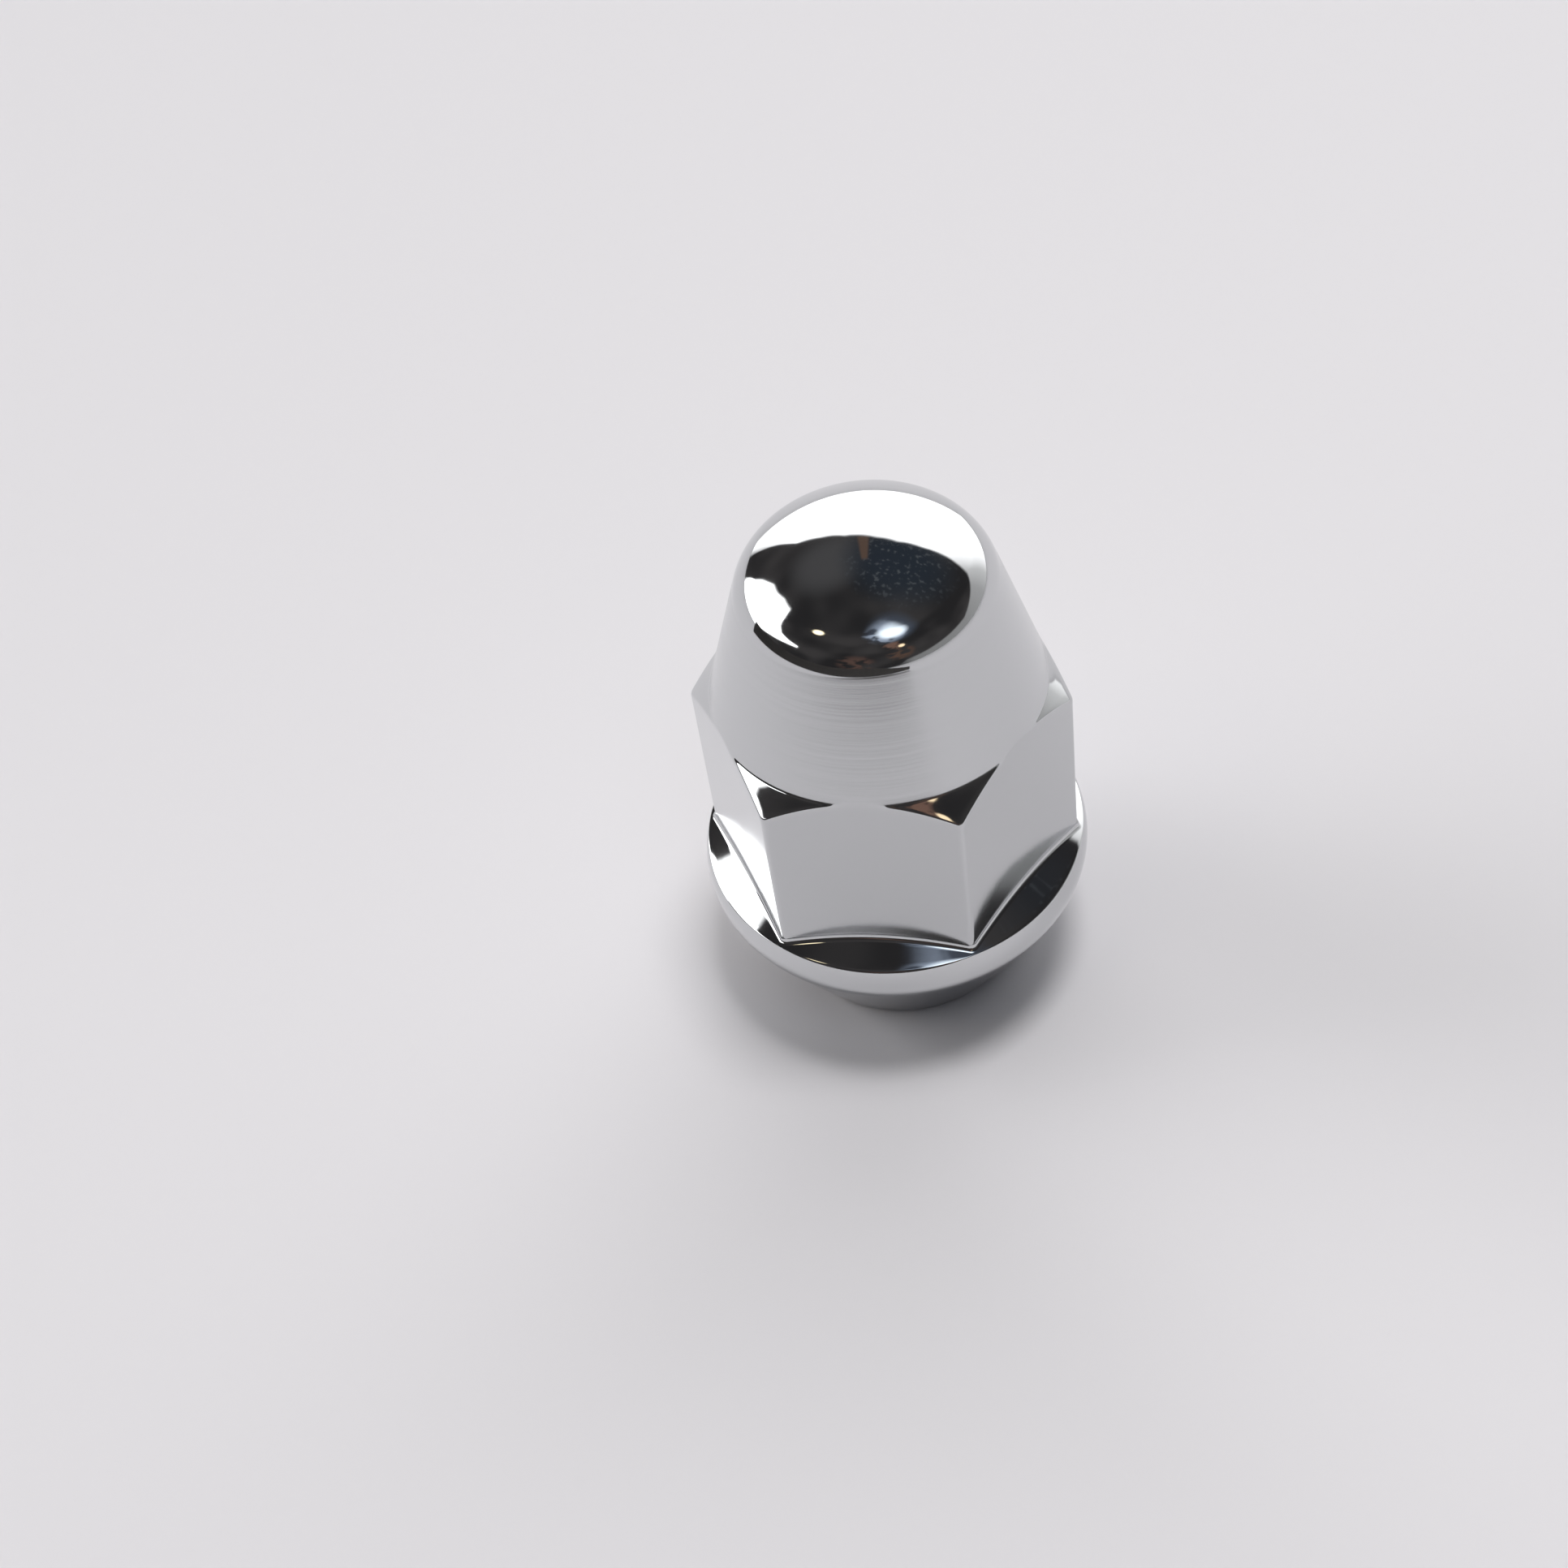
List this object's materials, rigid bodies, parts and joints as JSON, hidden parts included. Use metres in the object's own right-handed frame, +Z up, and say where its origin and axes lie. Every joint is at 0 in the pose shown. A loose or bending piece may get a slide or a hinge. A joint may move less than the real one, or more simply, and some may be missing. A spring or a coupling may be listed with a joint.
{
  "type": "lug nut",
  "caption": "Closed-end wheel nut: polished dome, tapered shoulder, hexagon for a socket, bulged collar and a conical seat, with a blind threaded bore from below.",
  "frame": {"origin": "centre of the flat end ring that the nut stands on, on the axis of the thread", "axes": "+Z up along the thread's axis, from the open end to the dome; two flats of the hexagon face -Y and +Y, and two corners lie on -X and +X"},
  "size_m": [0.0254, 0.0254, 0.0368],
  "materials": {
    "chrome_plate": "polished"
  },
  "bodies": {
    "root": {"lug_nut": "chrome_plate"}
  },
  "joints": []
}
